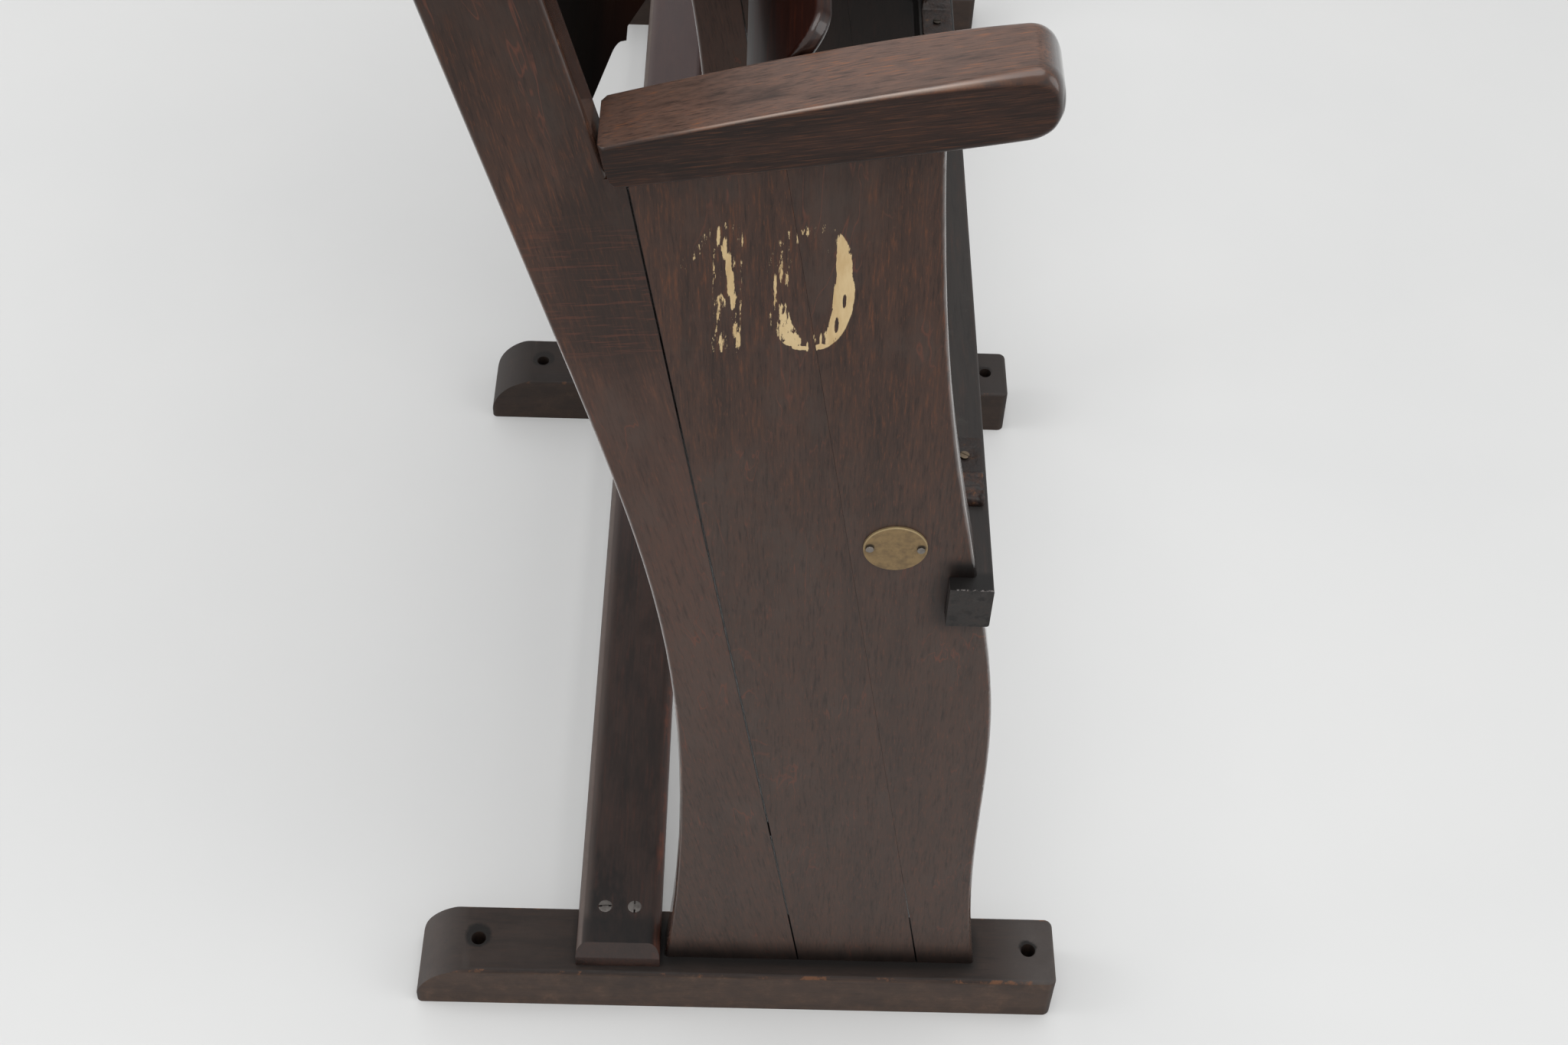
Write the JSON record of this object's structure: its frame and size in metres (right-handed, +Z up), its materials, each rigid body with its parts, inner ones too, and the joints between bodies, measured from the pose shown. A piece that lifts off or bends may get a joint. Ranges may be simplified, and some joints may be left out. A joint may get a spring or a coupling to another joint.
{
  "type": "cinema bench",
  "caption": "Dark wooden cinema bench with shaped plank standards, curved armrests, plywood backs and tip-up seats on iron pivots, standing on screw-down feet.",
  "frame": {"origin": "on the floor, in the middle of the bench's length and of its feet", "axes": "+X along the bench to the sitter's left, +Y to the rear, +Z up; the sitter faces -Y"},
  "size_m": [1.046, 0.394, 0.862],
  "materials": {
    "standard_wood": "dark stained beech, satin varnish, worn edges",
    "foot_wood": "dark stained beech, dull and scuffed",
    "armrest_wood": "dark stained beech, polished by hands",
    "rail_wood": "dark stained beech, satin varnish",
    "bar_wood": "blackened wood, dull",
    "back_ply": "stained plywood, satin varnish",
    "seat_ply": "red-brown stained plywood, gloss varnish",
    "batten_wood": "dark stained beech",
    "dowel_wood": "raw beech",
    "bumper_leather": "worn brown leather",
    "pivot_iron": "blackened iron",
    "screw_steel": "tarnished steel",
    "disc_brass": "tarnished brass",
    "disc_pin_steel": "steel pin heads"
  },
  "bodies": {
    "frame": {"armrest_dowels": "dowel_wood", "bearing_screws": "screw_steel", "board_dowels": "dowel_wood", "disc_pins": "disc_pin_steel", "floor_rail": "rail_wood", "floor_rail_screws": "screw_steel", "foot_screws": "screw_steel", "front_bar": "bar_wood", "front_bar_screws": "screw_steel", "left_armrest": "armrest_wood", "left_back_panel": "back_ply", "left_bumper_screws": "screw_steel", "left_centre_board": "standard_wood", "left_foot": "foot_wood", "left_front_board": "standard_wood", "left_post_board": "standard_wood", "left_seat_bearings": "pivot_iron", "left_seat_bumpers": "bumper_leather", "left_seat_stops": "pivot_iron", "middle_armrest": "armrest_wood", "middle_centre_board": "standard_wood", "middle_foot": "foot_wood", "middle_front_board": "standard_wood", "middle_post_board": "standard_wood", "number_disc": "disc_brass", "right_armrest": "armrest_wood", "right_back_panel": "back_ply", "right_bumper_screws": "screw_steel", "right_centre_board": "standard_wood", "right_foot": "foot_wood", "right_front_board": "standard_wood", "right_post_board": "standard_wood", "right_seat_bearings": "pivot_iron", "right_seat_bumpers": "bumper_leather", "right_seat_stops": "pivot_iron"},
    "left_seat": {"left_batten_screws": "screw_steel", "left_bracket_screws": "screw_steel", "left_seat_battens": "batten_wood", "left_seat_brackets": "pivot_iron", "left_seat_panel": "seat_ply", "left_seat_pins": "pivot_iron"},
    "right_seat": {"right_batten_screws": "screw_steel", "right_bracket_screws": "screw_steel", "right_seat_battens": "batten_wood", "right_seat_brackets": "pivot_iron", "right_seat_panel": "seat_ply", "right_seat_pins": "pivot_iron"}
  },
  "joints": [
    {"name": "left_seat_tip", "type": "hinge", "parent": "frame", "child": "left_seat", "pos_m": [-0.25, -0.0175, 0.42251], "axis": [1, 0, 0], "range_deg": [0, 87]},
    {"name": "right_seat_tip", "type": "hinge", "parent": "frame", "child": "right_seat", "pos_m": [0.25, -0.0175, 0.42251], "axis": [1, 0, 0], "range_deg": [0, 87]}
  ]
}
